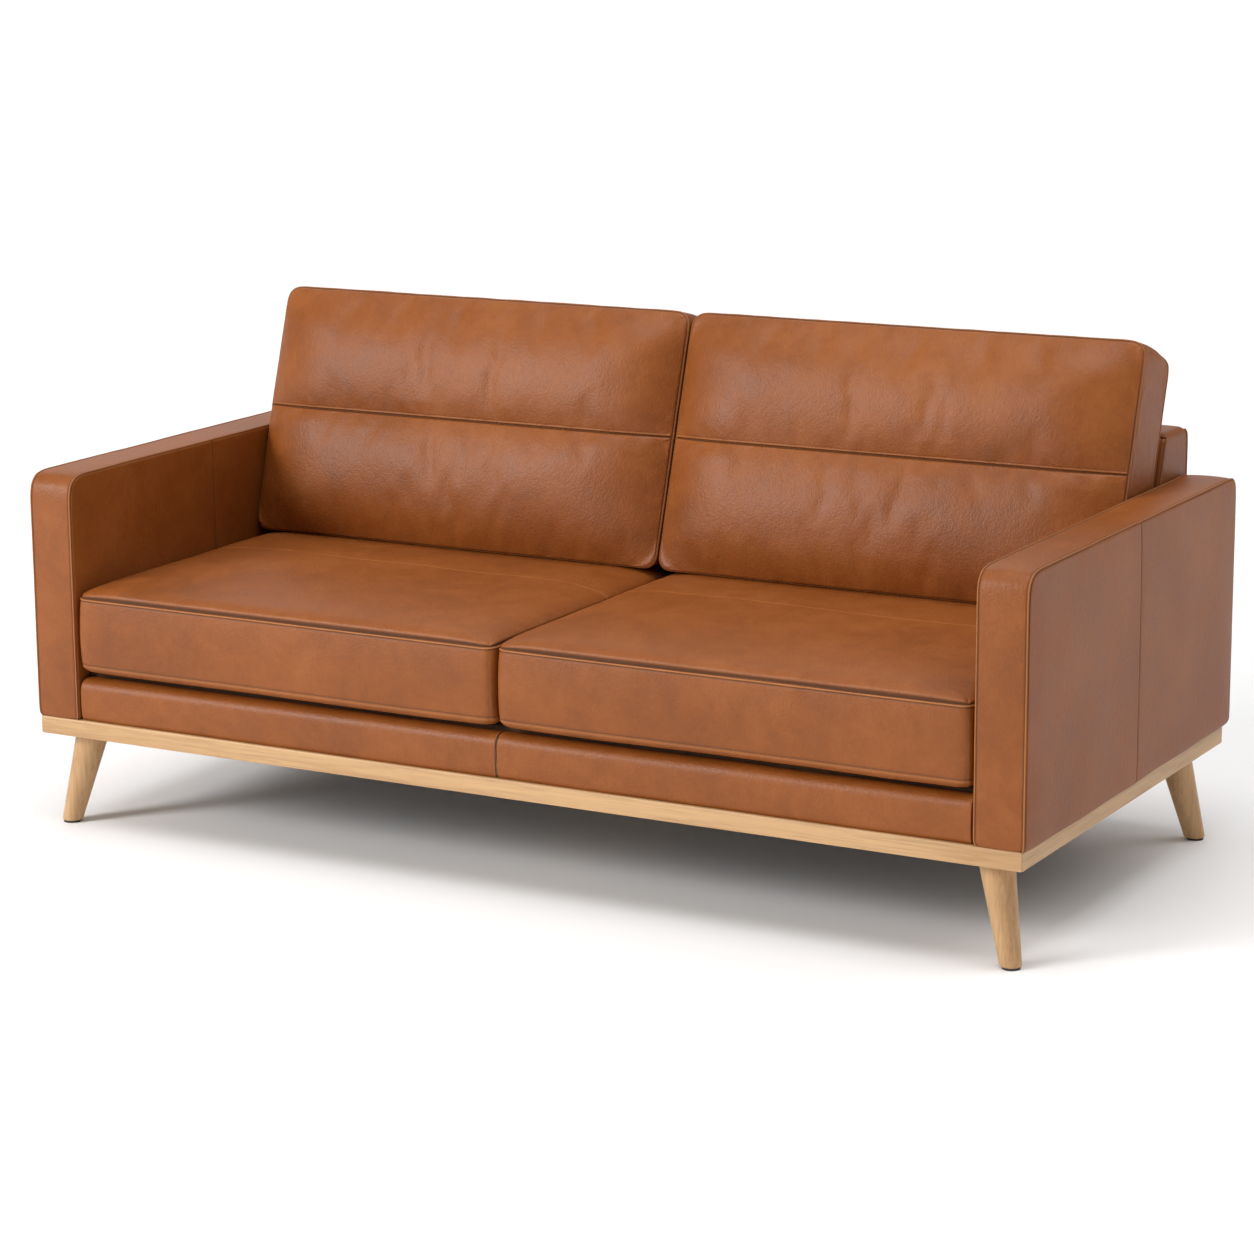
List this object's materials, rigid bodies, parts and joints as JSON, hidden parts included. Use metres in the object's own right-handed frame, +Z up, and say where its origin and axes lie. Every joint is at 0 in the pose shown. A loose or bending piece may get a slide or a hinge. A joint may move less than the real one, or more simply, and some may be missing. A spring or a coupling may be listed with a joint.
{
  "type": "sofa with wooden legs",
  "caption": "Leather sofa with slim padded arms, loose seat and back cushions that pull out, and an oak base ring on splayed tapered legs.",
  "frame": {"origin": "on the floor under the middle of the sofa's bounding box", "axes": "+X to the right as seen from the front, along the length; +Y from front to back; +Z up"},
  "size_m": [1.91, 0.926, 0.8931],
  "materials": {
    "leather": "satin semi-aniline leather, tan, fine grain",
    "oak": "clear matt oiled oak",
    "frame_timber": "planed softwood, unfinished",
    "plywood": "birch plywood, unfinished",
    "steel": "zinc plated",
    "glide": "matt",
    "foam": "open-cell foam",
    "webbing": "woven elastic webbing",
    "deck_cloth": "padded brown cloth",
    "dust_cloth": "black non-woven cloth",
    "zip_metal": "antique nickel"
  },
  "bodies": {
    "sofa_body": {"base_rail_front": "oak", "base_rail_back": "oak", "base_rail_left": "oak", "base_rail_right": "oak", "base_cross_rail": "oak", "base_corner_blocks": "frame_timber", "leg_front_left": "oak", "leg_front_right": "oak", "leg_back_left": "oak", "leg_back_right": "oak", "leg_plates": "steel", "leg_bolts": "steel", "leg_plate_screws": "steel", "leg_glides": "glide", "frame_bolts": "steel", "arm_left_side_board": "plywood", "arm_left_top_board": "plywood", "arm_left_front_board": "plywood", "arm_left_pad": "foam", "arm_left_outer_front": "leather", "arm_left_outer_back": "leather", "arm_left_band": "leather", "arm_left_inner_panel": "leather", "arm_right_side_board": "plywood", "arm_right_top_board": "plywood", "arm_right_front_board": "plywood", "arm_right_pad": "foam", "arm_right_outer_front": "leather", "arm_right_outer_back": "leather", "arm_right_band": "leather", "arm_right_inner_panel": "leather", "seat_rail_front": "frame_timber", "seat_rail_back": "frame_timber", "back_rib_left": "plywood", "back_rib_middle": "plywood", "back_rib_right": "plywood", "back_top_rail": "frame_timber", "seat_webbing": "webbing", "back_webbing": "webbing", "apron_pad": "foam", "back_pad": "foam", "apron_cover_left": "leather", "apron_cover_right": "leather", "seat_deck": "deck_cloth", "back_front_panel": "leather", "back_band": "leather", "back_rear_panel": "leather", "dust_cover": "dust_cloth"},
    "seat_cushion_left": {"seat_left_cover": "leather", "seat_left_core": "foam"},
    "seat_left_zip": {"seat_left_zip_slider": "zip_metal"},
    "seat_cushion_right": {"seat_right_cover": "leather", "seat_right_core": "foam"},
    "seat_right_zip": {"seat_right_zip_slider": "zip_metal"},
    "back_cushion_left": {"back_left_cover": "leather", "back_left_core": "foam"},
    "back_left_zip": {"back_left_zip_slider": "zip_metal"},
    "back_cushion_right": {"back_right_cover": "leather", "back_right_core": "foam"},
    "back_right_zip": {"back_right_zip_slider": "zip_metal"}
  },
  "joints": [
    {"name": "seat_left_pull_out", "type": "slide", "parent": "sofa_body", "child": "seat_cushion_left", "axis": [0, -1, 0], "range_m": [0, 0.32]},
    {"name": "back_left_lift", "type": "slide", "parent": "sofa_body", "child": "back_cushion_left", "axis": [0, 0.3007, 0.9537], "range_m": [0, 0.3]},
    {"name": "seat_right_pull_out", "type": "slide", "parent": "sofa_body", "child": "seat_cushion_right", "axis": [0, -1, 0], "range_m": [0, 0.32]},
    {"name": "back_right_lift", "type": "slide", "parent": "sofa_body", "child": "back_cushion_right", "axis": [0, 0.3007, 0.9537], "range_m": [0, 0.3]},
    {"name": "seat_left_zip_run", "type": "slide", "parent": "seat_cushion_left", "child": "seat_left_zip", "axis": [-1, 0, 0], "range_m": [0, 0.72]},
    {"name": "back_left_zip_run", "type": "slide", "parent": "back_cushion_left", "child": "back_left_zip", "axis": [-1, 0, 0], "range_m": [0, 0.72]},
    {"name": "seat_right_zip_run", "type": "slide", "parent": "seat_cushion_right", "child": "seat_right_zip", "axis": [1, 0, 0], "range_m": [0, 0.72]},
    {"name": "back_right_zip_run", "type": "slide", "parent": "back_cushion_right", "child": "back_right_zip", "axis": [1, 0, 0], "range_m": [0, 0.72]}
  ]
}
